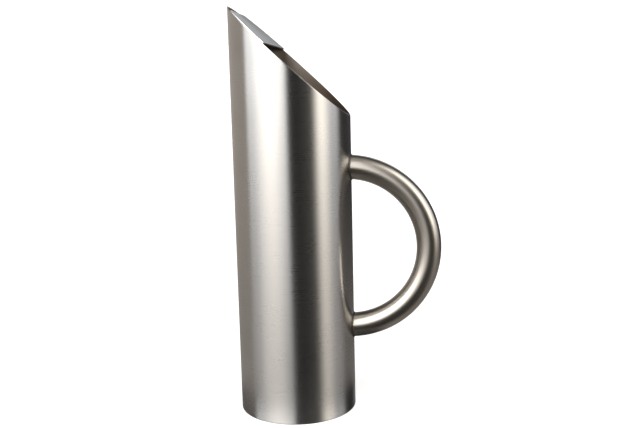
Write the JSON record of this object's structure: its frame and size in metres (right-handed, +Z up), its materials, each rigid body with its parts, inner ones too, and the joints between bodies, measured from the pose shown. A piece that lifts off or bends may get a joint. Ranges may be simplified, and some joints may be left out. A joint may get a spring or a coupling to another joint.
{
  "type": "water pitcher",
  "caption": "Tall cylindrical brushed steel water pitcher with a slant-cut mouth rising to a spout, a flat ice guard and a half-circle tube handle.",
  "frame": {"origin": "centre of the standing ring, on the surface that the pitcher stands on", "axes": "+Z up along the wall's axis, +X towards the handle and -X towards the spout, +Y across the handle's plane"},
  "size_m": [0.161, 0.092, 0.316],
  "materials": {
    "wall_steel": "fine brushed finish running round the outside, dull and browner inside",
    "base_steel": "fine finish brushed in circles",
    "guard_steel": "fine satin finish",
    "handle_steel": "soft satin finish, a little browner than the wall",
    "weld_steel": "dark bead, left as welded"
  },
  "bodies": {
    "root": {"body_shell": "wall_steel", "base_disc": "base_steel", "base_weld": "weld_steel", "ice_guard": "guard_steel", "guard_weld_left": "weld_steel", "guard_weld_right": "weld_steel", "handle_tube": "handle_steel", "upper_handle_weld": "weld_steel", "lower_handle_weld": "weld_steel"}
  },
  "joints": []
}
